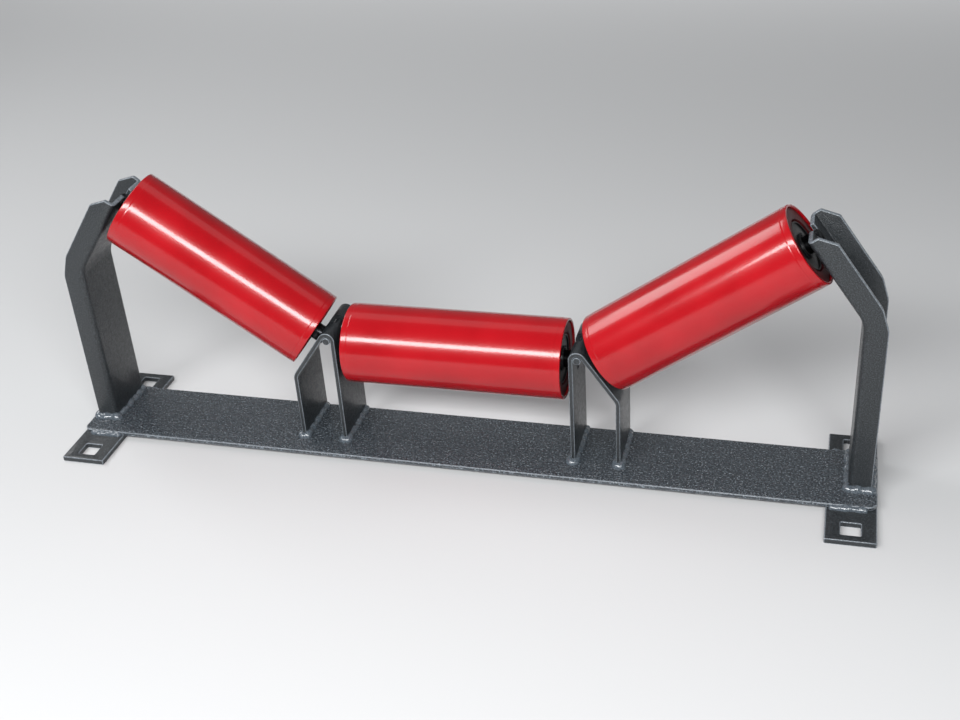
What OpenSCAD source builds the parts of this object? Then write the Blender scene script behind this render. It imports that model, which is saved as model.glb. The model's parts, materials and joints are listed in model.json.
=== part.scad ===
// Troughing idler set: three rollers on a welded frame, for an 800 mm belt.
// X runs across the belt, Y along it and Z up. The origin is the middle of the
// four bolt holes, on the underside of the feet.

/* [Rollers] */
// Outside diameter of the roller tubes
roller_d = 114; // [102:1:127]
// Length of each roller tube
roller_len = 315; // [250:5:380]
// Wall of the roller tubes
tube_wall = 4; // [3:0.5:6]
// Angle at which the two wing rollers are raised
trough_angle = 35; // [25:1:40]
// Space between a tube end and the plate that holds its shaft
end_gap = 10; // [8:0.5:14]
// Height of the centre roller's axis above the base plate
centre_h = 143; // [130:1:180]

/* [Roller ends] */
// How far the bearing housing sits inside the tube end
housing_recess = 3; // [2:0.5:5]
// Sheet that the bearing housings are pressed from
housing_t = 3; // [2.5:0.5:4]
// Length of the housing's skirt along the tube wall
housing_skirt = 12; // [8:1:16]
// Depth of the round dish in front of the bearing seat
dish_depth = 8; // [7:0.5:10]
// Width of the dish around the bearing seat
dish_rim = 11; // [8:0.5:12]
// Depth from the tube end to the bearing
bearing_depth = 21; // [20:0.5:26]
// Thickness of the dust covers
cover_t = 2; // [1.5:0.25:2.5]
// Gap between a dust cover and the dish around it
cover_gap = 2.5; // [1:0.5:4]
// Wall of the labyrinth seal rings
seal_t = 1.2; // [0.8:0.1:1.4]

/* [Shafts] */
// Diameter of the shafts where the bearings sit
shaft_d = 25; // [20:1:27]
// Height of the shoulders that the inner rings rest on
shoulder_h = 2.5; // [1.5:0.5:3]
// Depth of each flat at the shaft ends
flat_depth = 2.5; // [1.5:0.25:3.5]
// How far a shaft end stands out behind its plate
shaft_out = 2; // [1:0.5:10]
// Thickness of the circlips
circlip_t = 1.2; // [1:0.1:1.5]

/* [Ball bearings] */
// Outside diameter of the bearings
bearing_d = 52; // [47:1:56]
// Width of the bearings
bearing_w = 15; // [12:1:17]
// Diameter of the balls
ball_d = 7.9; // [6.5:0.1:8.5]

/* [Base] */
// Thickness of the base plate
base_t = 6; // [5:1:10]
// Width of base plate in front of the end stands
base_front = 36; // [20:1:60]
// Length of base plate outside each end stand
base_over = 8; // [6:1:30]
// Radius of the base plate's corners
base_corner = 12; // [4:1:20]

/* [Feet] */
// Length of each foot along the belt
foot_len = 240; // [230:5:300]
// Width of each foot
foot_w = 66; // [56:1:80]
// Thickness of the feet
foot_t = 8; // [6:1:12]
// Distance from a post's inner face out to the middle of its foot
foot_shift = 6; // [0:1:12]
// Side of the square bolt holes
hole_side = 26; // [18:1:30]
// Distance from a foot's end to the middle of its bolt hole
hole_edge = 25; // [24:1:32]
// Distance of the rollers behind the middle of the bolt holes
roller_back = 27; // [20:1:30]

/* [End stands] */
// Depth of the stands and the saddles along the belt
stand_d = 90; // [76:1:100]
// Sheet that the stands and the saddles are bent from
plate_t = 6; // [5:0.5:8]
// Width of the end stands' flanges
flange_w = 31; // [28:1:40]
// Radius, on the inner face, of the kink that each end stand's two folds make
kink_r = 24; // [18:1:60]
// How far the posts stand outside the seats of the wing shafts
post_out = 65; // [50:1:80]
// Height of the ears above the wing shafts
ear_h = 18; // [15:1:30]
// Width of the flat top of each ear
ear_top = 15; // [10:1:20]
// Drop of the sloping top of each ear
ear_slope = 20; // [10:1:25]

/* [Saddles] */
// Radius inside the bend at the top of each saddle
saddle_bend = 6; // [5:0.5:9]
// Height of the saddle's top above the centre shaft
saddle_rise = 37; // [34:1:45]
// Distance down the sloping side from the top bend to the wing shaft
wing_drop = 27; // [24:1:32]
// Width over both legs of each saddle
saddle_w = 70; // [66:1:84]
// Radius inside the lower bend of each saddle
elbow_r = 12; // [8:1:16]

/* [Fits and welds] */
// Clearance of a part that sits in another
fit = 0.05; // [0.02:0.01:0.1]
// Clearance of the shafts' flats in their slots
slot_play = 0.2; // [0.1:0.05:0.5]
// Clearance of the balls in their grooves
ball_play = 0.1; // [0.06:0.02:0.14]
// Leg length of the welds
weld = 5; // [3:0.5:7]

/* [Hidden] */
$fn = 72;

c_a = cos(trough_angle);
s_a = sin(trough_angle);

// Heights
deck = foot_t + base_t;
centre_z = deck + centre_h;

// Saddle: the bend's centre, then steps along the wing axis and down the slope
leg_x = roller_len / 2 + end_gap;
bend_x = leg_x + plate_t + saddle_bend;
bend_z = centre_z + saddle_rise - plate_t - saddle_bend;
slope_x = bend_x + (saddle_bend + plate_t) * c_a;
slope_z = bend_z + (saddle_bend + plate_t) * s_a;
seat_x = slope_x + wing_drop * s_a;
seat_z = slope_z - wing_drop * c_a;
elbow_x = leg_x + saddle_w - plate_t - elbow_r;
slope_len = (elbow_x + (elbow_r + plate_t) * c_a - slope_x) / s_a;
elbow_z = slope_z - slope_len * c_a - (elbow_r + plate_t) * s_a;

// Wing rollers
wing_mid = end_gap + roller_len / 2;
wing_x = seat_x + wing_mid * c_a;
wing_z = seat_z + wing_mid * s_a;

// End stands: the wing axis meets the web's inner face at top_x, top_z
top_x = wing_x + wing_mid * c_a;
top_z = wing_z + wing_mid * s_a;
post_x = round(top_x + post_out);
kink_x = post_x - kink_r;
kink_z = top_z - (post_x - top_x) * c_a / s_a - kink_r * tan(trough_angle / 2);
stand_rise = (top_z - kink_z) * c_a - (top_x - kink_x) * s_a + ear_h;

// Base and feet
base_x = post_x + flange_w + base_over;
base_y0 = roller_back - stand_d / 2 - base_front;
base_y1 = roller_back + stand_d / 2;
foot_x = post_x + foot_shift;
hole_y = foot_len / 2 - hole_edge;

// Shafts
shaft_r = shaft_d / 2;
flat_half = shaft_r - flat_depth;
shaft_half = wing_mid + plate_t + shaft_out;
flat_start = wing_mid - 0.5;
groove_r = shaft_r - 0.55;
circlip_w = housing_recess + 0.5;

// Bearings and roller ends, as depths from the tube end
bore_r = roller_d / 2 - tube_wall;
cup_r = bearing_d / 2;
dish_r = cup_r + dish_rim;
dish_w = housing_recess + dish_depth;
bearing_in = bearing_depth + bearing_w;
lip_r = cup_r - 5;
pitch_r = (shaft_r + cup_r) / 2;
ball_r = ball_d / 2;
ball_w = bearing_depth + bearing_w / 2;
groove = ball_r + ball_play;
ball_count = floor(2 * PI * pitch_r / (1.65 * ball_d));
cover_w = circlip_w + circlip_t;
cover_r = dish_r - cover_gap;
seal_w = cover_w + cover_t + 1.8;
seal_span = cup_r - shaft_r;
seal_disc = 2.3;

// Places

// Draws a piece on the right and its mirror image on the left
module both_sides() {
    for (m = [0, 1]) mirror([m, 0, 0]) children();
}

module on_left() {
    mirror([1, 0, 0]) on_right() children();
}

module on_centre() {
    translate([0, roller_back, centre_z]) children();
}

module on_right() {
    translate([wing_x, roller_back, wing_z]) rotate([0, -trough_angle, 0]) children();
}

// Stands an outline drawn in X and Z up along Y
module along_y(y0, y1) {
    translate([0, y1, 0]) rotate([90, 0, 0]) linear_extrude(y1 - y0) children();
}

// Turns an outline of radius and depth about a roller's axis, at both its ends
module both_ends() {
    for (m = [0, 1])
        mirror([m, 0, 0])
            translate([roller_len / 2, 0, 0]) rotate([0, -90, 0]) rotate_extrude() children();
}

// Points along an arc, one every 5 degrees or closer
function arc(c, r, a0, a1) =
    let (n = ceil(abs(a1 - a0) / 5))
    [for (i = [0 : n]) c + r * [cos(a0 + (a1 - a0) * i / n), sin(a0 + (a1 - a0) * i / n)]];

// A block in radius and depth, for both_ends
module band(r0, r1, w0, w1) {
    translate([r0, w0]) square([r1 - r0, w1 - w0]);
}

// Frame

module plate_outline(x, y0, y1, r) {
    translate([-x + r, y0]) square([2 * (x - r), y1 - y0]);
    translate([-x, y0 + r]) square([2 * x, y1 - y0 - 2 * r]);
    for (sx = [-1, 1], y = [y0 + r, y1 - r]) translate([sx * (x - r), y]) circle(r);
}

module base_plate() {
    color("#3a3d42")
        translate([0, 0, foot_t]) linear_extrude(base_t)
            plate_outline(base_x, base_y0, base_y1, base_corner);
}

// Cross plate under one end of the base, with two square holes
module foot() {
    color("#3a3d42")
        linear_extrude(foot_t)
            difference() {
                translate([foot_x - foot_w / 2, -foot_len / 2]) square([foot_w, foot_len]);
                for (sy = [-1, 1])
                    translate([foot_x, sy * hole_y]) square(hole_side, center = true);
            }
}

// Channel folded twice to the trough angle, open outwards, with an open slot for the shaft
module end_stand() {
    y0 = roller_back - stand_d / 2;
    y1 = roller_back + stand_d / 2;
    color("#3a3d42")
        difference() {
            translate([kink_x, 0, kink_z])
                difference() {
                    along_y(y0, y1) flange_outline();
                    along_y(y0 + plate_t, y1 - plate_t) pocket_outline();
                }
            on_right() translate([wing_mid - 1, 0, 0]) shaft_slot(plate_t + 2, ear_h + 1);
        }
}

// Side view of a stand's flanges, from the centre of the kink, with sloping ears
module flange_outline() {
    outer_r = kink_r + flange_w;
    polygon([
        [kink_r, deck - kink_z], [kink_r, 0], up_slope(kink_r, 0),
        up_slope(kink_r, stand_rise), up_slope(kink_r + ear_top, stand_rise),
        up_slope(outer_r, stand_rise - ear_slope), up_slope(outer_r, 0),
        [outer_r, 0], [outer_r, deck - kink_z]]);
}

// Side view of the space inside the channel, open at the top, the foot and the outer side
module pocket_outline() {
    web_r = kink_r + plate_t;
    outer_r = kink_r + 2 * flange_w;
    low = deck - kink_z - 1;
    polygon([
        [web_r, low], [web_r, 0], up_slope(web_r, 0), up_slope(web_r, stand_rise + 1),
        up_slope(outer_r, stand_rise + 1), [outer_r, 0], [outer_r, low]]);
}

// Point at radius r past the kink and up along a stand's sloping part
function up_slope(r, up) = [r * c_a - up * s_a, r * s_a + up * c_a];

// Slot for a flatted shaft end: round seat below, straight sides up to the height given
module shaft_slot(len, up) {
    half = flat_half + slot_play;
    shaft_seat(len);
    translate([0, -half, 0]) cube([len, 2 * half, up]);
}

// Seat for a flatted shaft end
module shaft_seat(len) {
    half = flat_half + slot_play;
    intersection() {
        rotate([0, 90, 0]) cylinder(r = shaft_r + fit, h = len);
        translate([0, -half, -shaft_d]) cube([len, 2 * half, shaft_d + 1]);
    }
}

// Flat bar bent over its top, from the centre shaft's leg to the wing shaft's slope
module saddle() {
    half = flat_half + 2 * slot_play;
    color("#3a3d42")
        difference() {
            translate([bend_x, 0, bend_z])
                along_y(roller_back - stand_d / 2, roller_back + stand_d / 2) saddle_outline();
            translate([bend_x, 0, bend_z])
                along_y(roller_back - half, roller_back + half) drop_in_outline();
            translate([leg_x - 1, roller_back, centre_z]) shaft_seat(plate_t + 2);
            translate([seat_x, roller_back, seat_z]) rotate([0, -trough_angle, 0])
                translate([-plate_t - 1, 0, 0]) shaft_seat(plate_t + 2);
        }
}

// Side view of the slot over the saddle's top, a little wider than the seats, where both shafts drop in
module drop_in_outline() {
    out = saddle_bend + plate_t + 1;
    in = saddle_bend - 1;
    low = centre_z - bend_z;
    polygon([[-in, low], [-out, low], [-out, out], up_slope(out, out),
             up_slope(out, -wing_drop), up_slope(in, -wing_drop)]);
}

// Side view of the bent bar, from the middle of its top bend: up the outer face, down the inner
module saddle_outline() {
    low = deck - bend_z;
    elbow = [elbow_x - bend_x, elbow_z - bend_z];
    top_r = saddle_bend + plate_t;
    side_r = elbow_r + plate_t;
    polygon(concat(
        [[-top_r, low]], arc([0, 0], top_r, 180, trough_angle),
        arc(elbow, side_r, trough_angle, 0), [[elbow[0] + side_r, low]],
        [[elbow[0] + elbow_r, low]], arc(elbow, elbow_r, 0, trough_angle),
        arc([0, 0], saddle_bend, trough_angle, 180), [[-saddle_bend, low]]));
}

// Rod inside the saddle's bend, which keeps the shafts from lifting out
module keeper_rod() {
    color("#8a8d90")
        translate([bend_x, roller_back + stand_d / 2 + 1, bend_z]) rotate([90, 0, 0])
            cylinder(r = saddle_bend - fit, h = stand_d + 2);
}

// Welds

// Quarter-round bead on the plane z = 0, from x = 0 to len, against the face y = 0
module bead(len) {
    rotate([90, 0, 90]) linear_extrude(len)
        intersection() {
            circle(weld, $fn = 32);
            translate([-weld, 0]) square(weld);
        }
}

// Bead round an outer corner, between the directions -X and -Y
module bead_corner() {
    intersection() {
        sphere(weld, $fn = 32);
        translate([-weld, -weld, 0]) cube(weld);
    }
}

// Beads along the front and both sides of an upright that stands at the base's rear edge
module bead_u(x0, x1) {
    y0 = roller_back - stand_d / 2;
    translate([x0, y0, deck]) {
        bead(x1 - x0);
        bead_corner();
        translate([0, stand_d, 0]) rotate(-90) bead(stand_d);
        translate([x1 - x0, 0, 0]) rotate(90) {
            bead(stand_d);
            bead_corner();
        }
    }
}

module stand_welds() {
    color("#5a5d62") both_sides() bead_u(post_x, post_x + flange_w);
}

module saddle_welds() {
    color("#5a5d62")
        both_sides()
            for (x = [leg_x, leg_x + saddle_w - plate_t]) bead_u(x, x + plate_t);
}

// Beads on the feet, along the front and rear edges of the base
module foot_welds() {
    x0 = foot_x - foot_w / 2;
    len = min(foot_w, base_x - base_corner - x0);
    color("#5a5d62")
        both_sides()
            translate([0, 0, foot_t]) {
                translate([x0, base_y0, 0]) bead(len);
                translate([x0 + len, base_y1, 0]) rotate(180) bead(len);
            }
}

// Rollers: each piece is drawn about the X axis, with the roller's middle at the origin

module tube() {
    edge = tube_wall / 4;
    color("#c01018")
        rotate([0, 90, 0]) rotate_extrude()
            polygon([[bore_r, -roller_len / 2], [roller_d / 2 - edge, -roller_len / 2],
                     [roller_d / 2, -roller_len / 2 + edge], [roller_d / 2, roller_len / 2 - edge],
                     [roller_d / 2 - edge, roller_len / 2], [bore_r, roller_len / 2]]);
}

// Pressed bearing housings: skirt, face, dish, bearing seat and inner lip
module housings() {
    t = housing_t;
    w = housing_recess;
    color("#b01018")
        both_ends()
            polygon([[bore_r, w + t / 2], [bore_r - t / 2, w], [dish_r + t / 2, w],
                     [dish_r, w + t / 2], [dish_r, dish_w - t / 2], [dish_r - t / 2, dish_w],
                     [cup_r, dish_w], [cup_r, bearing_in], [lip_r, bearing_in],
                     [lip_r, bearing_in + t], [cup_r + t / 2, bearing_in + t],
                     [cup_r + t, bearing_in + t / 2], [cup_r + t, dish_w + t],
                     [dish_r + t / 2, dish_w + t], [dish_r + t, dish_w + t / 2],
                     [dish_r + t, w + t], [bore_r - t, w + t],
                     [bore_r - t, w + housing_skirt], [bore_r, w + housing_skirt]]);
}

module outer_rings() {
    color("#9da2a8")
        both_ends()
            difference() {
                band(pitch_r + ball_r * 0.55, cup_r, bearing_depth, bearing_in);
                translate([pitch_r, ball_w]) circle(groove);
            }
}

module inner_rings() {
    color("#9da2a8")
        both_ends()
            difference() {
                band(shaft_r, pitch_r - ball_r * 0.55, bearing_depth, bearing_in);
                translate([pitch_r, ball_w]) circle(groove);
            }
}

// Places the balls, or their pockets, round both bearings
module ball_places() {
    for (m = [-1, 1], i = [0 : ball_count - 1])
        translate([m * (roller_len / 2 - ball_w), 0, 0]) rotate([i * 360 / ball_count, 0, 0])
            translate([0, 0, pitch_r]) children();
}

module balls() {
    color("#d0d4d8") ball_places() sphere(ball_r);
}

module cages() {
    half_w = ball_r + 0.8;
    color("#b08a4a")
        difference() {
            both_ends()
                band(pitch_r - ball_r * 0.28, pitch_r + ball_r * 0.28,
                     ball_w - half_w, ball_w + half_w);
            ball_places()
                translate([0, 0, -ball_r]) cylinder(r = ball_r + ball_play, h = ball_d);
        }
}

// Outer half of the labyrinth: turns with the roller
module outer_seals() {
    fin = shaft_r + 0.63 * seal_span;
    color("#1c1d1f")
        both_ends() {
            band(cup_r - seal_t, cup_r, dish_w + 0.5, bearing_depth);
            band(shaft_r + 0.3 * seal_span, cup_r, bearing_depth - seal_disc, bearing_depth);
            band(fin - seal_t / 2, fin + seal_t / 2, seal_w + seal_disc + 1.5, bearing_depth);
        }
}

// Inner half of the labyrinth: stands still on the shaft
module inner_seals() {
    outer = cup_r - seal_t - 1;
    fin = shaft_r + 0.42 * seal_span;
    tip = bearing_depth - seal_disc - 1.2;
    color("#1c1d1f")
        both_ends() {
            band(shaft_r, shaft_r + 2.2, seal_w, bearing_depth);
            band(shaft_r, outer, seal_w, seal_w + seal_disc);
            band(outer - seal_t, outer, seal_w, tip);
            band(fin - seal_t / 2, fin + seal_t / 2, seal_w, tip);
        }
}

// Covers on the shaft that close the dish
module dust_covers() {
    lift = 1.8;
    color("#1c1d1f")
        both_ends() {
            band(shaft_r, shaft_r + 5, cover_w, seal_w);
            band(shaft_r, cover_r, seal_w - cover_t, seal_w);
            band(cover_r - cover_t, cover_r, cover_w - 0.2, seal_w + lift);
        }
}

// Spring rings in the shaft grooves, open at the top, with a holed lug at each end
module circlips() {
    color("#9da2a8")
        for (m = [0, 1])
            mirror([m, 0, 0])
                translate([roller_len / 2 - circlip_w, 0, 0]) rotate([0, -90, 0])
                    linear_extrude(circlip_t) circlip_outline();
}

// Outline of a circlip: a ring that ends in two round lugs, each with a pin hole
module circlip_outline() {
    ring_r = shaft_r + 3;
    opening = 22;
    far = 2 * ring_r;
    lug_r = 2.6;
    pin_r = 1.1;
    lug_turn = opening + 8;
    lug_out = ring_r + 0.2;
    difference() {
        union() {
            difference() {
                circle(ring_r);
                circle(groove_r + fit);
                polygon([[0, 0], far * [cos(opening), sin(opening)],
                         far * [cos(opening), -sin(opening)]]);
            }
            lug_places(lug_turn, lug_out) circle(lug_r);
        }
        lug_places(lug_turn, lug_out) circle(pin_r);
    }
}

// Places its children at both sides of a circlip's opening
module lug_places(turn, out) {
    for (side = [-1, 1])
        rotate(side * turn) translate([out, 0]) children();
}

module shaft() {
    edge = 1.5;
    drill_r = 3.5;
    drill_in = drill_r / tan(30);
    mid_r = shaft_r + shoulder_h;
    mid_half = roller_len / 2 - bearing_in;
    groove_x = roller_len / 2 - circlip_w - circlip_t - fit;
    color("#7b7f85")
        difference() {
            rotate([0, 90, 0]) rotate_extrude()
                polygon([[0, drill_in - shaft_half], [drill_r, -shaft_half],
                         [shaft_r - edge, -shaft_half],
                         [shaft_r, -shaft_half + edge], [shaft_r, -mid_half],
                         [mid_r, -mid_half], [mid_r, mid_half], [shaft_r, mid_half],
                         [shaft_r, shaft_half - edge], [shaft_r - edge, shaft_half],
                         [drill_r, shaft_half], [0, shaft_half - drill_in]]);
            for (m = [0, 1], n = [0, 1])
                mirror([m, 0, 0]) mirror([0, n, 0])
                    translate([flat_start, flat_half, -shaft_d])
                        cube([shaft_half, shaft_d, 2 * shaft_d]);
            for (m = [0, 1])
                mirror([m, 0, 0])
                    translate([groove_x, 0, 0]) rotate([0, 90, 0])
                        difference() {
                            cylinder(r = shaft_d, h = circlip_t + 2 * fit);
                            translate([0, 0, -1]) cylinder(r = groove_r, h = circlip_t + 3);
                        }
        }
}

base_plate();
mirror([1, 0, 0]) foot();  // left_foot
foot();  // right_foot
foot_welds();
mirror([1, 0, 0]) end_stand();  // left_end_stand
end_stand();  // right_end_stand
stand_welds();
mirror([1, 0, 0]) saddle();  // left_saddle
saddle();  // right_saddle
saddle_welds();
mirror([1, 0, 0]) keeper_rod();  // left_keeper_rod
keeper_rod();  // right_keeper_rod

on_left() tube();  // left_tube
on_left() housings();  // left_housings
on_left() outer_rings();  // left_outer_rings
on_left() balls();  // left_balls
on_left() cages();  // left_cages
on_left() inner_rings();  // left_inner_rings
on_left() outer_seals();  // left_outer_seals
on_left() inner_seals();  // left_inner_seals
on_left() dust_covers();  // left_dust_covers
on_left() circlips();  // left_circlips
on_left() shaft();  // left_shaft

on_centre() tube();  // centre_tube
on_centre() housings();  // centre_housings
on_centre() outer_rings();  // centre_outer_rings
on_centre() balls();  // centre_balls
on_centre() cages();  // centre_cages
on_centre() inner_rings();  // centre_inner_rings
on_centre() outer_seals();  // centre_outer_seals
on_centre() inner_seals();  // centre_inner_seals
on_centre() dust_covers();  // centre_dust_covers
on_centre() circlips();  // centre_circlips
on_centre() shaft();  // centre_shaft

on_right() tube();  // right_tube
on_right() housings();  // right_housings
on_right() outer_rings();  // right_outer_rings
on_right() balls();  // right_balls
on_right() cages();  // right_cages
on_right() inner_rings();  // right_inner_rings
on_right() outer_seals();  // right_outer_seals
on_right() inner_seals();  // right_inner_seals
on_right() dust_covers();  // right_dust_covers
on_right() circlips();  // right_circlips
on_right() shaft();  // right_shaft
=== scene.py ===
import json
import math
import random

import bpy
from mathutils import Matrix, Vector


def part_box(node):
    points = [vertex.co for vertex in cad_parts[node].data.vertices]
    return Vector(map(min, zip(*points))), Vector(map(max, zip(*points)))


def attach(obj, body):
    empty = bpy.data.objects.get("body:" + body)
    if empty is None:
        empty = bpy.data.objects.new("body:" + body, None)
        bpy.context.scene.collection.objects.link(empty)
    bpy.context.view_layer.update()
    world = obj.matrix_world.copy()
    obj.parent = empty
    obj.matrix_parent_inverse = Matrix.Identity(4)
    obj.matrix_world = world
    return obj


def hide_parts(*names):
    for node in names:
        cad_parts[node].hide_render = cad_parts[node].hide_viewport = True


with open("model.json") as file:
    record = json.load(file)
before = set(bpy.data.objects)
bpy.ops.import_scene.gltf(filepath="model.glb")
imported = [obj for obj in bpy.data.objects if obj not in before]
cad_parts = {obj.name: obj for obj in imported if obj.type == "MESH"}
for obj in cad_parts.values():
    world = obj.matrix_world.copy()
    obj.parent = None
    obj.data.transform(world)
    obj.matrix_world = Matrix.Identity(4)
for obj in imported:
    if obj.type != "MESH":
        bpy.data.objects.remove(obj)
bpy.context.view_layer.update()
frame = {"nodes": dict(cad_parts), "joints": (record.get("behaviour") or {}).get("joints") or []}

mm = 0.001
rollerNames = ("left", "centre", "right")


def inMm(value):
    return value / mm


# Places, from the frame

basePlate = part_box("base_plate")
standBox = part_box("right_end_stand")
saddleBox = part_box("right_saddle")
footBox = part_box("right_foot")
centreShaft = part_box("centre_shaft")
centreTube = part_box("centre_tube")
deckZ = basePlate[1][2]
rollerY = (centreShaft[0][1] + centreShaft[1][1]) / 2
centreZ = (centreShaft[0][2] + centreShaft[1][2]) / 2
tubeLength = centreTube[1][0] - centreTube[0][0]
tubeRadius = (centreTube[1][2] - centreTube[0][2]) / 2
shaftLength = centreShaft[1][0] - centreShaft[0][0]
rightSpin = next(j for j in frame["joints"] if j["name"] == "right_roller_spin")
wingMiddle = Vector(rightSpin["pos_m"])
wingAxis = Vector(rightSpin["axis"]).normalized()
trough = math.atan2(wingAxis.z, wingAxis.x)                   # tilt of the wing rollers
radial = Vector((math.cos(trough), 0, math.sin(trough)))      # outwards along the right wing
slopeUp = Vector((-math.sin(trough), 0, math.cos(trough)))    # up, square to that wing


# Small tools for modelling

def deselect():
    if bpy.context.object and bpy.context.object.mode != "OBJECT":
        bpy.ops.object.mode_set(mode="OBJECT")
    bpy.ops.object.select_all(action="DESELECT")


def focus(obj):
    deselect()
    obj.select_set(True)
    bpy.context.view_layer.objects.active = obj


def pick(obj, test, kind="FACE"):
    # goes into edit mode with only the parts selected whose middle passes the test
    focus(obj)
    mesh = obj.data
    bpy.context.tool_settings.mesh_select_mode = (False, kind == "EDGE", kind == "FACE")
    for group in (mesh.vertices, mesh.edges, mesh.polygons):
        group.foreach_set("select", [False] * len(group))
    for edge in mesh.edges if kind == "EDGE" else ():
        ends = [mesh.vertices[i].co for i in edge.vertices]
        edge.select = test((ends[0] + ends[1]) / 2, ends[1] - ends[0])
    for face in mesh.polygons if kind == "FACE" else ():
        face.select = test(face.center, face.normal)
    bpy.ops.object.mode_set(mode="EDIT")


def settle(obj):
    # leaves the object at the origin with its place in its mesh
    focus(obj)
    bpy.ops.object.transform_apply(location=True, rotation=True, scale=True)


def modify(obj, kind, **settings):
    focus(obj)
    change = obj.modifiers.new(kind.lower(), kind)
    for key, value in settings.items():
        setattr(change, key, value)
    bpy.ops.object.modifier_apply(modifier=change.name)


def twoSlots(obj):
    while len(obj.data.materials) < 2:
        obj.data.materials.append(None)


def roundEdges(obj, width, segments=2, angle=35):
    # the rounded faces take the second material, where a piece has one
    twoSlots(obj)
    modify(obj, "BEVEL", width=width * mm, segments=segments, limit_method="ANGLE",
           angle_limit=math.radians(angle), use_clamp_overlap=True, material=1)


def cutWith(obj, cutter):
    modify(obj, "BOOLEAN", operation="DIFFERENCE", solver="EXACT", object=cutter)
    bpy.data.objects.remove(cutter, do_unlink=True)


def facesOut(obj, merge=0.0):
    focus(obj)
    bpy.ops.object.mode_set(mode="EDIT")
    bpy.ops.mesh.select_all(action="SELECT")
    if merge:
        bpy.ops.mesh.remove_doubles(threshold=merge * mm)
    bpy.ops.mesh.normals_make_consistent(inside=False)
    bpy.ops.object.mode_set(mode="OBJECT")


def smooth(obj, angle=32):
    focus(obj)
    bpy.ops.object.shade_smooth_by_angle(angle=math.radians(angle))


def block(name, low, high):
    deselect()
    size = [b - a for a, b in zip(low, high)]
    bpy.ops.mesh.primitive_cube_add(size=1, location=[(a + b) / 2 for a, b in zip(low, high)])
    obj = bpy.context.object
    obj.name = name
    obj.scale = size
    settle(obj)
    return obj


def turned(name, outline, turns=96, capped=False):
    # a circle, then one more loop for each (radius, place along X) of the outline, in mm
    deselect()
    radius, place = outline[0]
    bpy.ops.mesh.primitive_circle_add(vertices=turns, radius=radius * mm,
                                      location=(place * mm, 0, 0), rotation=(0, math.pi / 2, 0))
    obj = bpy.context.object
    obj.name = name
    settle(obj)
    bpy.ops.object.mode_set(mode="EDIT")
    bpy.ops.mesh.select_mode(type="EDGE")
    bpy.ops.mesh.select_all(action="SELECT")
    if capped:
        bpy.ops.mesh.edge_face_add()
    for (r0, x0), (r1, x1) in zip(outline, outline[1:]):
        bpy.ops.mesh.extrude_edges_move(TRANSFORM_OT_translate={"value": ((x1 - x0) * mm, 0, 0)})
        if r1 != r0:
            bpy.ops.transform.resize(value=(1, r1 / r0, r1 / r0), center_override=(0, 0, 0))
    if capped:
        bpy.ops.mesh.edge_face_add()
    bpy.ops.object.mode_set(mode="OBJECT")
    facesOut(obj, merge=0.01)
    return obj


def mirrored(obj, name):
    focus(obj)
    bpy.ops.object.duplicate(linked=False)
    twin = bpy.context.object
    twin.name = name
    twin.scale.x = -1
    settle(twin)
    facesOut(twin)
    return twin


def joined(name, *objs):
    deselect()
    for obj in objs:
        obj.select_set(True)
    bpy.context.view_layer.objects.active = objs[0]
    bpy.ops.object.join()
    objs[0].name = name
    return objs[0]


def onAxis(obj, side):
    # moves a piece drawn about the X axis to its roller
    if side == "centre":
        obj.location = (0, rollerY, centreZ)
    else:
        way = 1 if side == "right" else -1
        obj.rotation_euler = (0, -way * trough, 0)
        obj.location = (way * wingMiddle.x, wingMiddle.y, wingMiddle.z)
    settle(obj)
    return obj


def finish(obj, material, slot, body, *nodes, edges=None):
    twoSlots(obj)
    obj.data.materials[0] = material
    # where given, the rounded faces take the pale coat that paints edge highlights
    obj.data.materials[1] = edges or material
    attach(obj, body)
    if nodes:
        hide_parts(*nodes)
    return obj


# Materials

def colour(code):
    # sRGB hex to linear
    parts = [int(code[i:i + 2], 16) / 255 for i in (1, 3, 5)]
    return [p / 12.92 if p <= 0.04045 else ((p + 0.055) / 1.055) ** 2.4 for p in parts] + [1]


def addNode(tree, kind, settings=None, links=None):
    # "stops" are the places and colours of a ramp
    node = tree.nodes.new("ShaderNode" + kind)
    for key, value in (settings or {}).items():
        if key == "stops":
            points = node.color_ramp.elements
            while len(points) < len(value):
                points.new(0.5)
            for point, (where, code) in zip(points, value):
                point.position = where
                point.color = colour(code)
        elif key in node.inputs:
            node.inputs[key].default_value = value
        else:
            setattr(node, key, value)
    for key, source in (links or {}).items():
        tree.links.new(source, node.inputs[key])
    return node


def newMaterial(name, **settings):
    material = bpy.data.materials.new(name)
    material.use_nodes = True
    tree = material.node_tree
    shader = tree.nodes["Principled BSDF"]
    for key, value in settings.items():
        shader.inputs[key.replace("_", " ")].default_value = value
    place = addNode(tree, "TexCoord").outputs["Object"]
    return material, tree, shader, place


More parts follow.
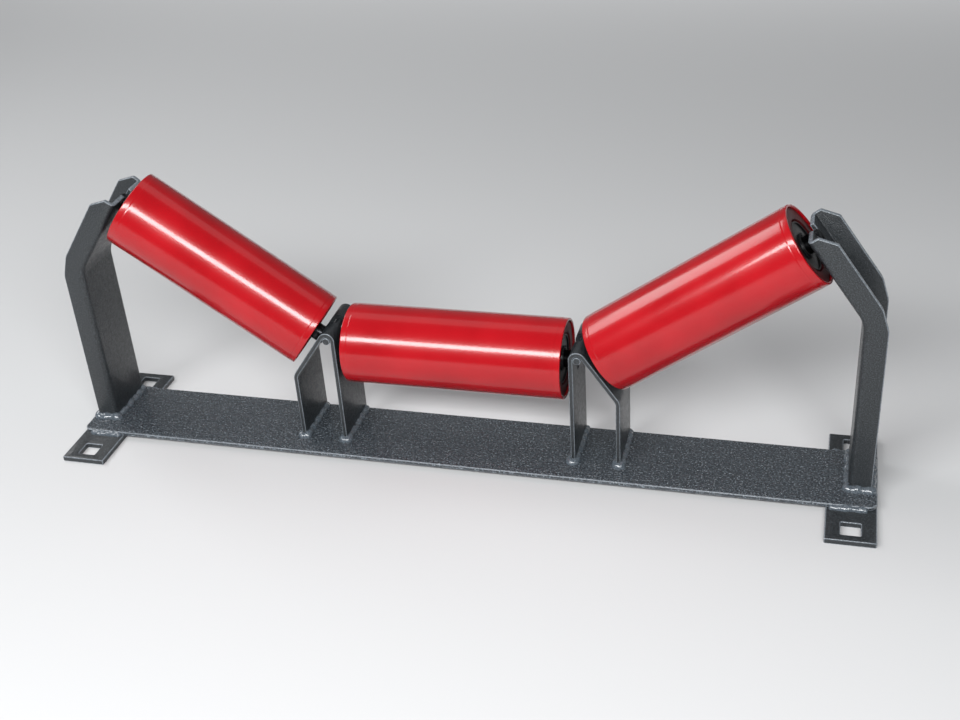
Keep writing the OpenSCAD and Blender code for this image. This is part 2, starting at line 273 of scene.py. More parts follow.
# grain: mm from one fleck to the next; height: mm that it stands up; wrinkle: mm across a wave.
# Both are drawn coarser than a real coat's, which would be too fine to show
powderCoats = {
    "stand": {"grain": 1.5, "height": 0.7, "wrinkle": 5.0, "wrinkleHeight": 0.3,
              "roughness": (0.30, 0.46), "coat": 0.25,
              "colours": [(0.36, "#141719"), (0.50, "#23272a"), (0.64, "#3c4145")]},
    # painted lighter than the stand coat as lit from above; the palest stop paints sparkle flecks
    "base": {"grain": 2.3, "height": 3.2, "wrinkle": 6.0, "wrinkleHeight": 1.3,
             "roughness": (0.16, 0.34), "coat": 0.6,
             "colours": [(0.37, "#2a2f34"), (0.51, "#393f45"), (0.60, "#545d65"),
                         (0.68, "#98a2aa")]},
    # pale colour on the bevels: a painted highlight along the edges
    "edge": {"grain": 2.0, "height": 0.3, "wrinkle": 6.0, "wrinkleHeight": 0.3,
             "roughness": (0.20, 0.34), "coat": 0.25,
             "colours": [(0.35, "#545b61"), (0.65, "#828990")]},
    # paler than the stand coat: painted highlights on the beads
    "weld": {"grain": 1.6, "height": 0.08, "wrinkle": 4.5, "wrinkleHeight": 0.9,
             "roughness": (0.06, 0.14), "coat": 1.0,
             "colours": [(0.30, "#30373d"), (0.70, "#68727b")]},
}


def makePowderCoat(name, kind):
    coat = powderCoats[kind]
    material, tree, shader, place = newMaterial(name, IOR=1.5, Coat_Weight=coat["coat"],
                                                Coat_Roughness=0.15)
    grain = addNode(tree, "TexNoise", {"Scale": 1 / (coat["grain"] * mm), "Detail": 2.5,
                                       "Roughness": 0.55}, {"Vector": place})
    wrinkle = addNode(tree, "TexNoise", {"Scale": 1 / (coat["wrinkle"] * mm), "Detail": 3.0,
                                         "Roughness": 0.5, "Distortion": 0.8},
                      {"Vector": place})
    shade = addNode(tree, "ValToRGB", {"stops": coat["colours"]}, {"Fac": grain.outputs["Fac"]})
    tree.links.new(shade.outputs["Color"], shader.inputs["Base Color"])
    low, high = coat["roughness"]
    gloss = addNode(tree, "MapRange", {"From Min": 0.35, "From Max": 0.65, "To Min": low,
                                       "To Max": high}, {"Value": wrinkle.outputs["Fac"]})
    tree.links.new(gloss.outputs["Result"], shader.inputs["Roughness"])
    waves = addNode(tree, "Bump", {"Strength": 1.0, "Distance": coat["wrinkleHeight"] * mm},
                    {"Height": wrinkle.outputs["Fac"]})
    flecks = addNode(tree, "Bump", {"Strength": 1.0, "Distance": coat["height"] * mm},
                     {"Height": grain.outputs["Fac"], "Normal": waves.outputs["Normal"]})
    tree.links.new(flecks.outputs["Normal"], shader.inputs["Normal"])
    return material


# cloud: mm from one patch of slightly other red to the next; peel: mm from one dimple of the
# spray finish to the next; peelHeight: mm from dimple to crest
enamels = {
    "outside": {"colours": [(0.30, "#98000b"), (0.70, "#aa0110")], "cloud": 90, "peel": 3.2,
                "peelHeight": 0.22, "roughness": (0.20, 0.27), "coat": 0.5},
    # a darker copy of the outside red: painted shade inside the roller ends
    "inside": {"colours": [(0.30, "#3c0609"), (0.70, "#560b11")], "cloud": 90, "peel": 2.0,
               "peelHeight": 0.06, "roughness": (0.42, 0.55), "coat": 0.0},
}


def makeEnamel(name, kind):
    paint = enamels[kind]
    material, tree, shader, place = newMaterial(name, IOR=1.42, Coat_Weight=paint["coat"],
                                                Coat_Roughness=0.1)
    cloud = addNode(tree, "TexNoise", {"Scale": 1 / (paint["cloud"] * mm), "Detail": 3.0},
                    {"Vector": place})
    shade = addNode(tree, "ValToRGB", {"stops": paint["colours"]}, {"Fac": cloud.outputs["Fac"]})
    tree.links.new(shade.outputs["Color"], shader.inputs["Base Color"])
    peel = addNode(tree, "TexNoise", {"Scale": 1 / (paint["peel"] * mm), "Detail": 2.0},
                   {"Vector": place})
    low, high = paint["roughness"]
    gloss = addNode(tree, "MapRange", {"From Min": 0.3, "From Max": 0.7, "To Min": low,
                                       "To Max": high}, {"Value": cloud.outputs["Fac"]})
    tree.links.new(gloss.outputs["Result"], shader.inputs["Roughness"])
    bump = addNode(tree, "Bump", {"Strength": 0.5, "Distance": paint["peelHeight"] * mm},
                   {"Height": peel.outputs["Fac"]})
    tree.links.new(bump.outputs["Normal"], shader.inputs["Normal"])
    return material


# stain: mm from one darker patch to the next; grain: mm from one tool mark to the next;
# height: depth of a tool mark in mm
bareSteels = {
    "turned": {"colours": [(0.35, "#2a2b2d"), (0.65, "#3c3d40")], "stain": 14,
               "roughness": (0.22, 0.34), "grain": 0.7, "height": 0.02},
    "ground": {"colours": [(0.35, "#a7a9ab"), (0.65, "#bfc1c3")], "stain": 14,
               "roughness": (0.14, 0.26), "grain": 0.4, "height": 0.005},
    "pressed": {"colours": [(0.35, "#8f8a80"), (0.65, "#a59f93")], "stain": 14,
                "roughness": (0.32, 0.44), "grain": 1.0, "height": 0.02},
    "spring": {"colours": [(0.35, "#3a3b3d"), (0.65, "#4c4d4f")], "stain": 14,
               "roughness": (0.38, 0.50), "grain": 0.6, "height": 0.02},
}


def makeBareSteel(name, kind):
    steel = bareSteels[kind]
    material, tree, shader, place = newMaterial(name, Metallic=1.0)
    marks = addNode(tree, "TexNoise", {"Scale": 1 / (steel["grain"] * mm), "Detail": 4.0,
                                       "Roughness": 0.6}, {"Vector": place})
    stain = addNode(tree, "TexNoise", {"Scale": 1 / (steel["stain"] * mm), "Detail": 3.0},
                    {"Vector": place})
    shade = addNode(tree, "ValToRGB", {"stops": steel["colours"]}, {"Fac": stain.outputs["Fac"]})
    tree.links.new(shade.outputs["Color"], shader.inputs["Base Color"])
    low, high = steel["roughness"]
    gloss = addNode(tree, "MapRange", {"From Min": 0.3, "From Max": 0.7, "To Min": low,
                                       "To Max": high}, {"Value": marks.outputs["Fac"]})
    tree.links.new(gloss.outputs["Result"], shader.inputs["Roughness"])
    bump = addNode(tree, "Bump", {"Strength": 0.5, "Distance": steel["height"] * mm},
                   {"Height": marks.outputs["Fac"]})
    tree.links.new(bump.outputs["Normal"], shader.inputs["Normal"])
    return material


# flow: mm from one flow mark to the next; grit and gritHeight: mm across and up of the grain
mouldedNylon = {
    "colours": [(0.3, "#0b0c0d"), (0.7, "#15171a")], "roughness": (0.26, 0.40), "flow": 8,
    "grit": 0.8, "gritHeight": 0.03,
}


def makeNylon():
    material, tree, shader, place = newMaterial("mouldedBlackNylon", IOR=1.45,
                                                Specular_IOR_Level=0.25)
    flow = addNode(tree, "TexNoise", {"Scale": 1 / (mouldedNylon["flow"] * mm), "Detail": 3.0,
                                      "Distortion": 1.5}, {"Vector": place})
    grit = addNode(tree, "TexNoise", {"Scale": 1 / (mouldedNylon["grit"] * mm), "Detail": 2.0},
                   {"Vector": place})
    shade = addNode(tree, "ValToRGB", {"stops": mouldedNylon["colours"]},
                    {"Fac": flow.outputs["Fac"]})
    tree.links.new(shade.outputs["Color"], shader.inputs["Base Color"])
    low, high = mouldedNylon["roughness"]
    gloss = addNode(tree, "MapRange", {"From Min": 0.3, "From Max": 0.7, "To Min": low,
                                       "To Max": high}, {"Value": flow.outputs["Fac"]})
    tree.links.new(gloss.outputs["Result"], shader.inputs["Roughness"])
    bump = addNode(tree, "Bump", {"Strength": 0.4, "Distance": mouldedNylon["gritHeight"] * mm},
                   {"Height": grit.outputs["Fac"]})
    tree.links.new(bump.outputs["Normal"], shader.inputs["Normal"])
    return material


# Textured powder coat on mild steel, baked on: fine dark grain with a soft wide sheen
coatedSteel = makePowderCoat("texturedPowderCoat", "stand")
# The same coat on the base plate: real coarse grain, but painted lighter than the stands' coat
# where light falls on it from above, with pale flecks painted as sparkle highlights
paintedSparkleBaseCoat = makePowderCoat("coarseCoatPaintedLitSparkle", "base")
# The coat on the rounded edges: smooth and glossy, in a paler colour that paints a bright highlight
# line along every edge
edgeHighlightCoat = makePowderCoat("paleEdgeHighlightCoat", "edge")
# The coat over a weld, which runs smooth on the hot bead: glossy, in a paler colour than the stands
# that paints highlights on the beads
weldCoatPaintedHighlight = makePowderCoat("weldCoatWithPaintedHighlight", "weld")
# Stoved red enamel, sprayed: deep even colour under a hard gloss with a slight orange peel
enamel = makeEnamel("stovedRedEnamel", "outside")
# The same enamel inside the roller ends, darkened as painted shade in the recess, and dull
shadedInnerEnamel = makeEnamel("shadedRedEnamel", "inside")
# Mild steel bar, turned, then blackened and oiled: near black with sharp highlights
turnedSteel = makeBareSteel("blackenedTurnedSteel", "turned")
# Bearing steel, ground: pale and bright, nearly a mirror
groundSteel = makeBareSteel("groundBearingSteel", "ground")
# Low-carbon strip, pressed: satin, a little warmer than the rings
pressedSteel = makeBareSteel("pressedCageSteel", "pressed")
# Spring steel, phosphated and oiled: dark with a dull sheen
springSteel = makeBareSteel("phosphatedSpringSteel", "spring")
# Black glass-filled nylon, injection moulded: near black, soft sheen, faint flow marks
nylon = makeNylon()
print("materials made")

# CAD pieces that keep their shape

carried = {
    "inner_rings": groundSteel, "outer_rings": groundSteel, "balls": groundSteel,
    "cages": pressedSteel, "inner_seals": nylon, "outer_seals": nylon,
}
for side in rollerNames:
    for part, material in carried.items():
        mesh = frame["nodes"][side + "_" + part].data
        mesh.materials.clear()
        mesh.materials.append(material)

# Base plate and feet

base = {"corner": 12, "edge": 1.4}
plate = block("base_bar", basePlate[0], basePlate[1])
pick(plate, lambda mid, along: abs(along.z) > abs(along.x) + abs(along.y), "EDGE")
bpy.ops.mesh.bevel(offset=base["corner"] * mm, segments=10, affect="EDGES")
bpy.ops.object.mode_set(mode="OBJECT")
roundEdges(plate, base["edge"], 3)
smooth(plate)
finish(plate, paintedSparkleBaseCoat, "powder_coat", "frame", "base_plate", edges=edgeHighlightCoat)

foot = {"hole": 26, "holeY": 95, "holeCorner": 2.0, "edge": 1.2, "cutLow": -10, "cutHigh": 20}
footX = (footBox[0][0] + footBox[1][0]) / 2
rightFoot = block("right_foot_plate", footBox[0], footBox[1])
for way in (-1, 1):
    half = foot["hole"] * mm / 2
    y = way * foot["holeY"] * mm
    cutter = block("hole", (footX - half, y - half, foot["cutLow"] * mm),
                   (footX + half, y + half, foot["cutHigh"] * mm))
    pick(cutter, lambda mid, along: abs(along.z) > abs(along.x) + abs(along.y), "EDGE")
    bpy.ops.mesh.bevel(offset=foot["holeCorner"] * mm, segments=4, affect="EDGES")
    cutWith(rightFoot, cutter)
roundEdges(rightFoot, foot["edge"], 3, 50)
smooth(rightFoot)
leftFoot = mirrored(rightFoot, "left_foot_plate")
finish(rightFoot, coatedSteel, "powder_coat", "frame", "right_foot", edges=edgeHighlightCoat)
finish(leftFoot, coatedSteel, "powder_coat", "frame", "left_foot", edges=edgeHighlightCoat)
print("base and feet made")

# End stands: channel bent at the kink, slot and ears at the top

stand = {
    "sheet": 6, "flange": 31, "cornerRadius": 8, "edge": 1.2,
    "kinkRadius": 24, "foldRound": 4,                      # two folds make the kink
    "earHeight": 18, "earTop": 15, "earSlope": 20,         # the flanges' tops, past the slot
    "slotReach": 14, "slotUp": 21,
}
# The shafts are needed here already, because stands and saddles are slotted for them
shaft = {
    "radius": 12.5, "chamfer": 1.5, "edge": 0.5,
    "flat": 10, "flatStart": 167.0, "flatEnd": 190, "flatCut": 20,
    "play": 0.2, "floorPlay": 0.05, "slotCorner": 5,
    "drill": 3.5, "drillTip": 0.3, "drillDepth": 6.06,
    "groove": 152.75, "grooveWidth": 1.3, "grooveDepth": 0.55,
    "shoulder": 2.5, "shoulderHalf": 121.5,
    "clear": 10,         # mm of bare shaft from a wing's tube to its stand
}


def slotCutter(middle, tilt, reach, up, extra=0.0):
    # a flat-sided slot with rounded lower corners, along the tilted X axis
    half = (shaft["flat"] + shaft["play"] + extra) * mm
    low = -(shaft["radius"] + shaft["floorPlay"]) * mm
    cutter = block("slot", (-reach * mm, -half, low), (reach * mm, half, up * mm))
    pick(cutter, lambda mid, along: mid.z < low / 2 and abs(along.x) > abs(along.y), "EDGE")
    bpy.ops.mesh.bevel(offset=shaft["slotCorner"] * mm, segments=5, affect="EDGES")
    bpy.ops.object.mode_set(mode="OBJECT")
    cutter.rotation_euler = (0, -tilt, 0)
    cutter.location = middle
    settle(cutter)
    return cutter


postX = standBox[1][0] - stand["flange"] * mm
webTop = wingMiddle + wingAxis * (tubeLength / 2 + shaft["clear"] * mm)
kinkRadius = stand["kinkRadius"] * mm
kinkZ = webTop.z - (postX - webTop.x) / math.tan(trough) - kinkRadius * math.tan(trough / 2)
kink = Vector((postX - kinkRadius, 0, kinkZ))
standRise = (webTop - kink).dot(slopeUp) + stand["earHeight"] * mm

# the channel's web and flanges: a box without its top, bottom and outer side
post = block("right_stand", (postX, standBox[0][1], deckZ),
             (standBox[1][0], standBox[1][1], kinkZ))
pick(post, lambda mid, normal: abs(normal.z) > 0.5 or normal.x > 0.5)
bpy.ops.mesh.delete(type="FACE")
pick(post, lambda mid, along: abs(along.z) > abs(along.y) + abs(along.x) and mid.x < postX + mm,
     "EDGE")
bpy.ops.mesh.bevel(offset=stand["cornerRadius"] * mm, segments=5, affect="EDGES")
pick(post, lambda mid, along: mid.z > kinkZ - mm * 0.5 and abs(along.z) < mm * 0.1, "EDGE")
bpy.ops.mesh.spin(steps=1, angle=trough, center=kink, axis=(0, 1, 0))
bpy.ops.mesh.extrude_edges_move(TRANSFORM_OT_translate={"value": slopeUp * standRise})
for upward in (Vector((0, 0, 1)), slopeUp):
    pick(post, lambda mid, along: max(abs((mid - kink).dot(upward)),
                                      abs(along.dot(upward))) < 0.1 * mm, "EDGE")
    bpy.ops.mesh.bevel(offset=stand["foldRound"] * mm, segments=3, affect="EDGES")
bpy.ops.mesh.select_all(action="SELECT")
earInner = kink + radial * (kinkRadius + stand["earTop"] * mm) + slopeUp * standRise
earOuter = (kink + radial * (kinkRadius + stand["flange"] * mm)
            + slopeUp * (standRise - stand["earSlope"] * mm))
along = earOuter - earInner
bpy.ops.mesh.bisect(plane_co=earInner, plane_no=(-along.z, 0, along.x), clear_outer=True)
bpy.ops.object.mode_set(mode="OBJECT")
facesOut(post, merge=0.01)
twoSlots(post)
modify(post, "SOLIDIFY", thickness=stand["sheet"] * mm, offset=-1, use_even_offset=True,
       material_offset_rim=1)
cutWith(post, slotCutter(webTop, trough, stand["slotReach"], stand["slotUp"]))
roundEdges(post, stand["edge"], 3)
smooth(post)
leftPost = mirrored(post, "left_stand")
finish(post, coatedSteel, "powder_coat", "frame", "right_end_stand", edges=edgeHighlightCoat)
finish(leftPost, coatedSteel, "powder_coat", "frame", "left_end_stand", edges=edgeHighlightCoat)
print("end stands made")

# Saddles: flat bar bent over its top, with a slot for two shafts

saddle = {
    "sheet": 6, "bend": 6, "rise": 37, "drop": 27, "width": 70, "elbow": 12, "edge": 0.95,
    "dropInReach": 13.5, "dropInUp": 45,     # slot for the centre roller's shaft
    "seatReach": 14, "seatUp": 48,           # slot for the wing roller's shaft
    "slotPlay": 0.2,
}
legX = saddleBox[0][0]
sheet = saddle["sheet"] * mm
bend = Vector((legX + sheet + saddle["bend"] * mm, 0,
               centreZ + (saddle["rise"] - saddle["bend"]) * mm - sheet))
elbowX = legX + (saddle["width"] - saddle["elbow"]) * mm - sheet
gap = elbowX - bend.x
elbowOut = (saddle["bend"] - saddle["elbow"]) * mm
slopeRun = (gap - elbowOut * math.cos(trough)) / math.sin(trough)
elbow = bend + radial * elbowOut - slopeUp * slopeRun
seat = bend + radial * (sheet + saddle["bend"] * mm) - slopeUp * saddle["drop"] * mm
seat.y = rollerY

bar = block("right_saddle_bar", (legX, saddleBox[0][1], deckZ),
            (legX + sheet, saddleBox[1][1], bend.z))
pick(bar, lambda mid, normal: normal.z > 0.5)
bpy.ops.mesh.delete(type="FACE")
pick(bar, lambda mid, along: mid.z > bend.z - mm * 0.5, "EDGE")
bpy.ops.mesh.spin(steps=20, angle=trough - math.pi, center=bend, axis=(0, 1, 0))
bpy.ops.mesh.extrude_edges_move(TRANSFORM_OT_translate={"value": -slopeUp * slopeRun})
bpy.ops.mesh.spin(steps=6, angle=-trough, center=elbow, axis=(0, 1, 0))
bpy.ops.mesh.extrude_edges_move(TRANSFORM_OT_translate={"value": (0, 0, deckZ - elbow.z)})
bpy.ops.mesh.edge_face_add()
bpy.ops.object.mode_set(mode="OBJECT")
facesOut(bar, merge=0.01)
roundEdges(bar, saddle["edge"], 3, 50)
cutWith(bar, slotCutter((legX, rollerY, centreZ), 0, saddle["dropInReach"], saddle["dropInUp"],
                        saddle["slotPlay"]))
cutWith(bar, slotCutter(seat, trough, saddle["seatReach"], saddle["seatUp"], saddle["slotPlay"]))
smooth(bar)
leftBar = mirrored(bar, "left_saddle_bar")
finish(bar, coatedSteel, "powder_coat", "frame", "right_saddle", edges=edgeHighlightCoat)
finish(leftBar, coatedSteel, "powder_coat", "frame", "left_saddle", edges=edgeHighlightCoat)

rod = {"radius": 5.6, "drop": 0.3, "over": 1.0, "edge": 1.1}
rodLength = saddleBox[1][1] - saddleBox[0][1] + 2 * rod["over"] * mm
deselect()
bpy.ops.mesh.primitive_cylinder_add(vertices=48, radius=rod["radius"] * mm, depth=rodLength,
                                    location=(bend.x, rollerY, bend.z - rod["drop"] * mm),
                                    rotation=(math.pi / 2, 0, 0))
rightRod = bpy.context.object
rightRod.name = "right_rod"
settle(rightRod)
roundEdges(rightRod, rod["edge"], 5)
smooth(rightRod)
leftRod = mirrored(rightRod, "left_rod")
finish(rightRod, coatedSteel, "powder_coat", "frame", "right_keeper_rod", edges=edgeHighlightCoat)
finish(leftRod, coatedSteel, "powder_coat", "frame", "left_keeper_rod", edges=edgeHighlightCoat)
print("saddles and keeper rods made")

# Welds: rippled beads along their corners

weld = {
    "size": 7.0,         # mm from the corner to the face of the bead
    "footSize": 6.2, "footStart": 3,
    "body": 0.89,        # share of the size that the thinnest stretch of the bead has
    "lumpy": 0.09, "pitch": 17.0, "drift": 17, "driftBy": 1.6,      # slow lumps, unevenly apart
    "fine": 0.02, "ripple": 3.4,                                    # fine ripples between them
    "swell": 0.18, "swellLength": 7.0,    # thicker round the front of an upright
    "taper": 0.9, "tip": 0.02,            # how the ends run out
    "wander": 0.27, "wanderLength": 6,
    "lump": 3.4, "lumpSize": 10.0,        # mm, for the clouds that roughen the mesh
    "step": 0.7,
    "standSeeds": (3, 4), "saddleSeed": 10,
}


def resampled(points, step):
    out = []
    for a, b in zip(points, points[1:]):
        a, b = Vector(a), Vector(b)
        count = max(1, round((b - a).length / step))
        out += [a.lerp(b, i / count) for i in range(count)]
    return out + [Vector(points[-1])]


def bead(name, points, seed, size=None, front=None):
    # a curve of varying thickness, made a mesh and roughened, points in mm
    draw = random.Random(seed)
    size = size or weld["size"]
    path = resampled(points, weld["step"])
    data = bpy.data.curves.new(name, "CURVE")
    data.dimensions = "3D"
    data.bevel_depth = size * mm
    data.bevel_resolution = 5
    data.use_fill_caps = True
    spline = data.splines.new("POLY")
    spline.points.add(len(path) - 1)
    length = len(path) * weld["step"]
    phase = [draw.uniform(0, 6.28) for _ in range(3)]
    for i, co in enumerate(path):
        s = i * weld["step"]
        drift = weld["driftBy"] * math.sin(s / weld["drift"] + phase[0])
        lumps = math.sin(2 * math.pi * s / weld["pitch"] + drift)
        fine = abs(math.sin(math.pi * s / weld["ripple"] + phase[1]))
        thick = weld["body"] + weld["lumpy"] * lumps + weld["fine"] * fine
        if front is not None:
            thick *= 1 + weld["swell"] * math.exp(-((co.y - front) / weld["swellLength"]) ** 2)
        near = min(s, length - s) / (size * weld["taper"])
        thick *= math.sqrt(max(weld["tip"], 1 - max(0.0, 1 - near) ** 2))
        side = weld["wander"] * math.sin(s / weld["wanderLength"] + phase[2])
        spline.points[i].co = ((co.x + side) * mm, co.y * mm, co.z * mm, 1)
        spline.points[i].radius = thick
    obj = bpy.data.objects.new(name, data)
    bpy.context.collection.objects.link(obj)
    focus(obj)
    bpy.ops.object.convert(target="MESH")
    obj = bpy.context.object
    facesOut(obj, merge=0.02)
    clouds = bpy.data.textures.new(name + "Clouds", "CLOUDS")
    clouds.noise_scale = weld["lumpSize"] * mm
    modify(obj, "DISPLACE", texture=clouds, texture_coords="LOCAL", strength=weld["lump"] * mm,
           mid_level=0.5)
    bpy.data.textures.remove(clouds)
    return obj


def beadRound(name, x0, x1, seed):
    # along both sides of an upright and round its front
    y0, y1, z = inMm(standBox[0][1]), inMm(standBox[1][1]), inMm(deckZ)
    return bead(name, [(x0, y1, z), (x0, y0, z), (x1, y0, z), (x1, y1, z)], seed, front=y0)


x0, x1 = inMm(postX), inMm(standBox[1][0])
rightSeed, leftSeed = weld["standSeeds"]
standBeads = joined("stand_weld_beads", beadRound("stand_weld_beads", x0, x1, rightSeed),
                    beadRound("left_beads", -x1, -x0, leftSeed))

saddleParts = []
seed = weld["saddleSeed"]
for leg in (inMm(legX), inMm(saddleBox[1][0]) - saddle["sheet"]):
    for edges in ((leg, leg + saddle["sheet"]), (-leg - saddle["sheet"], -leg)):
        saddleParts.append(beadRound("saddle_bead", *edges, seed))
        seed += 1
saddleBeads = joined("saddle_weld_beads", *saddleParts)

footParts = []
for way in (-1, 1):
    for y in (inMm(basePlate[0][1]), inMm(basePlate[1][1])):
        path = [(way * (inMm(footBox[0][0]) + weld["footStart"]), y, inMm(footBox[1][2])),
                (way * (inMm(footBox[1][0]) - base["corner"]), y, inMm(footBox[1][2]))]
        footParts.append(bead("foot_bead", path, seed, size=weld["footSize"]))
        seed += 1
footBeads = joined("foot_weld_beads", *footParts)
for beads, node in ((standBeads, "stand_welds"), (saddleBeads, "saddle_welds"),
                    (footBeads, "foot_welds")):
    smooth(beads, 60)
    finish(beads, weldCoatPaintedHighlight, "powder_coat", "frame", node)
print("welds made")

# Rollers: tube, pressed housings, covers and shaft

roller = {
    "wall": 4.0, "rim": 1.3,
    "band": 9.0, "bandStep": 0.25, "bandRun": 0.5,     # the ends, turned down a little
    "bandLoop": 0.8, "barrelLoop": 1.5,                # loops that keep the shading straight
    "recess": 3.0, "sheet": 3.0, "fold": 1.2, "skirt": 12.0, "dish": 11.0, "dishRadius": 37.0,
    "cup": 26.0, "bearingBack": 36.0, "lip": 21.0,
}
cover = {
    "radius": 34.5, "sheet": 2.0, "hub": 17.5, "hubFace": 4.7, "back": 8.5, "rimFace": 4.5,
    "rimBack": 10.3, "edge": 0.5,
}
circlip = {
    "radius": 15.5, "depth": 3.5, "thick": 1.2, "play": 0.05, "gap": 5,
    "lug": 2.6, "lugOut": 0.2, "lugTurn": 30, "hole": 1.1,
}


def bothEnds(name, part):
    twin = mirrored(part, name)
    return joined(name, part, twin)


def makeTube(side):
    half = inMm(tubeLength / 2)
    outer = inMm(tubeRadius)
    inner = outer - roller["wall"]
    band, low = half - roller["band"], outer - roller["bandStep"]
    end = [(inner, half), (low, half), (low, band + roller["bandLoop"]), (low, band),
           (outer, band - roller["bandRun"]), (outer, band - roller["barrelLoop"])]
    outline = [(radius, -x) for radius, x in end] + [(radius, x) for radius, x in reversed(end)]
    tube = turned(side + "_roller_tube", outline + outline[:1], turns=160)
    roundEdges(tube, roller["rim"], 4)
    smooth(tube)
    return tube


def makeHousing(side):
    half = inMm(tubeLength / 2)
    bore = inMm(tubeRadius) - roller["wall"]
    t, w = roller["sheet"], roller["recess"]
    dish, cup = roller["dishRadius"], roller["cup"]
    back = roller["bearingBack"]
    outline = [(bore, w), (dish, w), (dish, roller["dish"]), (cup, roller["dish"]),
               (cup, back), (roller["lip"], back), (roller["lip"], back + t),
               (cup + t, back + t), (cup + t, roller["dish"] + t),
               (dish + t, roller["dish"] + t), (dish + t, w + t), (bore - t, w + t),
               (bore - t, w + roller["skirt"]), (bore, w + roller["skirt"]), (bore, w)]
    housing = turned("housing", [(r, half - depth) for r, depth in outline], turns=128)
    roundEdges(housing, roller["fold"], 3)
    smooth(housing)
    return bothEnds(side + "_end_housings", housing)


def makeCover(side):
    half = inMm(tubeLength / 2)
    r, t, shaftR = cover["radius"], cover["sheet"], shaft["radius"]
    outline = [(shaftR, cover["hubFace"]), (cover["hub"], cover["hubFace"]),
               (cover["hub"], cover["back"] - t), (r - t, cover["back"] - t),
               (r - t, cover["rimFace"]), (r, cover["rimFace"]), (r, cover["rimBack"]),
               (r - t, cover["rimBack"]), (r - t, cover["back"]), (shaftR, cover["back"]),
               (shaftR, cover["hubFace"])]
    part = turned("cover", [(r, half - depth) for r, depth in outline], turns=112)
    roundEdges(part, cover["edge"], 2)
    smooth(part)
    return bothEnds(side + "_end_covers", part)


def makeCirclip(side):
    # a flat ring cut open, with a holed lug at each end of it
    front = inMm(tubeLength / 2) - circlip["depth"]
    back = front - circlip["thick"]
    inner = shaft["radius"] - shaft["grooveDepth"] + circlip["play"]
    outer, hole, lugRadius = circlip["radius"], circlip["hole"], circlip["lug"]
    ring = turned("clip", [(inner, front), (outer, front), (outer, back), (inner, back),
                           (inner, front)], turns=96)
    gap = circlip["gap"] * mm
    cutWith(ring, block("wedge", ((back - 1) * mm, -gap, 0),
                        ((front + 1) * mm, gap, 2 * outer * mm)))
    parts = [ring]
    reach = (outer + circlip["lugOut"]) * mm
    for way in (-1, 1):
        turn = math.radians(way * circlip["lugTurn"])
        lug = turned("lug", [(hole, front), (lugRadius, front), (lugRadius, back), (hole, back),
                             (hole, front)], turns=32)
        lug.location = (0, -math.sin(turn) * reach, math.cos(turn) * reach)
        settle(lug)
        parts.append(lug)
    clip = joined("clip", *parts)
    smooth(clip)
    return bothEnds(side + "_end_clips", clip)


def makeShaft(side):
    half = inMm(shaftLength / 2)
    r, chamfer = shaft["radius"], shaft["chamfer"]
    collar = r + shaft["shoulder"]
    groove, depth = shaft["groove"], r - shaft["grooveDepth"]
    step = shaft["shoulderHalf"]
    end = [(shaft["drillTip"], half - shaft["drillDepth"]), (shaft["drill"], half),
           (r - chamfer, half), (r, half - chamfer), (r, groove + shaft["grooveWidth"]),
           (depth, groove + shaft["grooveWidth"]), (depth, groove), (r, groove), (r, step),
           (collar, step)]
    outline = [(radius, -x) for radius, x in end] + [(radius, x) for radius, x in reversed(end)]
    part = turned(side + "_axle", outline, turns=64, capped=True)
    for way in (-1, 1):
        for face in (-1, 1):
            low = (way * shaft["flatStart"], face * shaft["flat"], -shaft["flatCut"])
            high = (way * shaft["flatEnd"], face * shaft["flatCut"], shaft["flatCut"])
            corners = [sorted(pair) for pair in zip(low, high)]
            cutWith(part, block("flat", [c[0] * mm for c in corners], [c[1] * mm for c in corners]))
    roundEdges(part, shaft["edge"], 2, 30)
    smooth(part)
    return part


for side in rollerNames:
    tube = onAxis(makeTube(side), side)
    finish(tube, enamel, "roller_enamel", side + "_roller", side + "_tube")
    housing = onAxis(makeHousing(side), side)
    finish(housing, shadedInnerEnamel, "roller_enamel", side + "_roller", side + "_housings")
    covers = onAxis(makeCover(side), side)
    finish(covers, nylon, "seal_plastic", "frame", side + "_dust_covers")
    clips = onAxis(makeCirclip(side), side)
    finish(clips, springSteel, "spring_steel", "frame", side + "_circlips")
    axle = onAxis(makeShaft(side), side)
    finish(axle, turnedSteel, "turned_steel", "frame", side + "_shaft")
    print(side, "roller made")

# Floor, light and camera

studio = {
    "floorColour": "#cbcccd", "floorSize": 14, "floorMiddle": (0, 2, 0),
    "airColour": "#e9ebee", "airStrength": 0.22,
}
deselect()
bpy.ops.mesh.primitive_plane_add(size=studio["floorSize"], location=studio["floorMiddle"])
floor = bpy.context.object
floor.name = "floor"
settle(floor)
# Paper roll, matt: pale and even, with next to no sheen
paper, _, paperShader, _ = newMaterial("mattePaper", Roughness=0.9, Specular_IOR_Level=0.1)
paperShader.inputs["Base Color"].default_value = colour(studio["floorColour"])
floor.data.materials.append(paper)

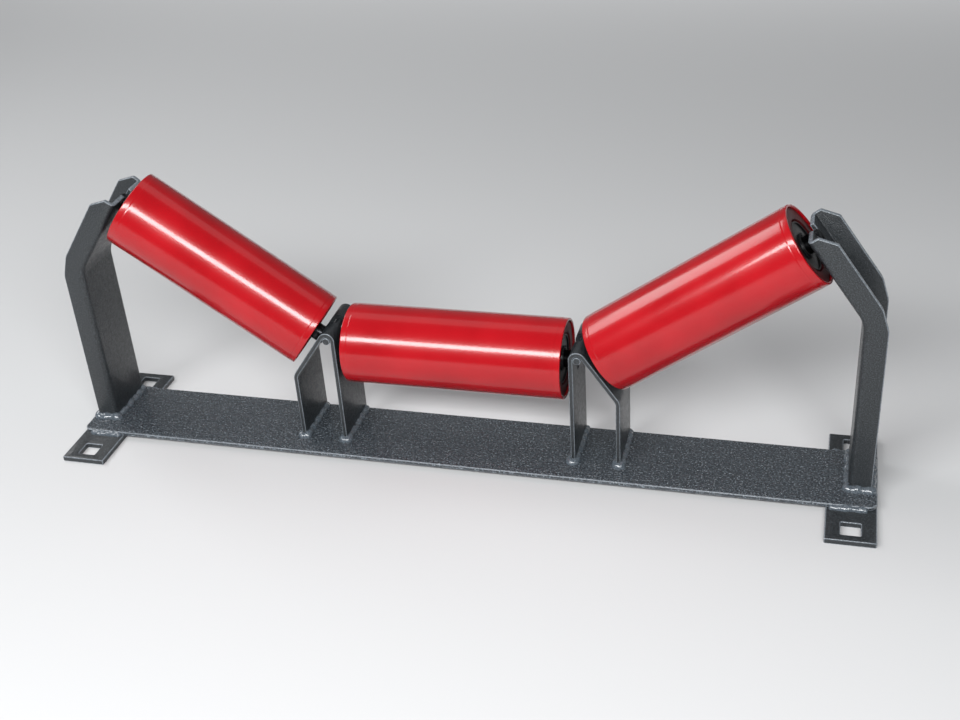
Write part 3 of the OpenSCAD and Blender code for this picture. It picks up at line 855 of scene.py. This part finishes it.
lights = {
    "frontSoftbox": {"place": (0.0, -1.84, 1.67), "aim": (0, 0.03, 0.2), "size": (3.2, 0.44),
                     "power": 96, "spread": 180},
    "leftSoftbox": {"place": (-2.2, 0.6, 2.0), "aim": (0, 0, 0.2), "size": (1.6, 1.0),
                    "power": 26, "spread": 180},
    "overheadSoftbox": {"place": (0.0, 0.94, 2.16), "aim": (0, 0, 0.2), "size": (2.6, 0.9),
                        "power": 4, "spread": 180},
    "backWash": {"place": (0.0, 5.0, 3.0), "aim": (0, 5.001, 0), "size": (8.0, 3.0),
                 "power": 210, "spread": 90},
}
for name, light in lights.items():
    data = bpy.data.lights.new(name, "AREA")
    data.shape = "RECTANGLE"
    data.size, data.size_y = light["size"]
    data.energy = light["power"]
    data.spread = math.radians(light["spread"])
    lamp = bpy.data.objects.new(name, data)
    lamp.location = light["place"]
    aim = Vector(light["aim"]) - lamp.location
    lamp.rotation_euler = aim.to_track_quat("-Z", "Y").to_euler()
    bpy.context.collection.objects.link(lamp)

world = bpy.data.worlds.new("studio")
bpy.context.scene.world = world
world.use_nodes = True
backdrop = world.node_tree.nodes["Background"]
backdrop.inputs["Color"].default_value = colour(studio["airColour"])
backdrop.inputs["Strength"].default_value = studio["airStrength"]

camera = {
    "place": (0.48618, -1.49221, 1.10261), "yaw": 16.67, "pitch": -31.17, "roll": -4.23,
    "lens": 49.18, "sensor": 36,
}
yaw, pitch, roll = (math.radians(camera[k]) for k in ("yaw", "pitch", "roll"))
forward = Vector((-math.sin(yaw) * math.cos(pitch), math.cos(yaw) * math.cos(pitch),
                  math.sin(pitch)))
level = Vector((math.cos(yaw), math.sin(yaw), 0))
upright = level.cross(forward)
right = level * math.cos(roll) + upright * math.sin(roll)
up = upright * math.cos(roll) - level * math.sin(roll)
lensData = bpy.data.cameras.new("camera")
lensData.lens = camera["lens"]
lensData.sensor_width = camera["sensor"]
lensData.sensor_fit = "HORIZONTAL"
view = bpy.data.objects.new("camera", lensData)
turn = Matrix((right, up, -forward)).transposed().to_4x4()
view.matrix_world = Matrix.Translation(camera["place"]) @ turn
bpy.context.collection.objects.link(view)
bpy.context.scene.camera = view
bpy.context.scene.view_settings.view_transform = "Standard"
deselect()


print("scene finished")
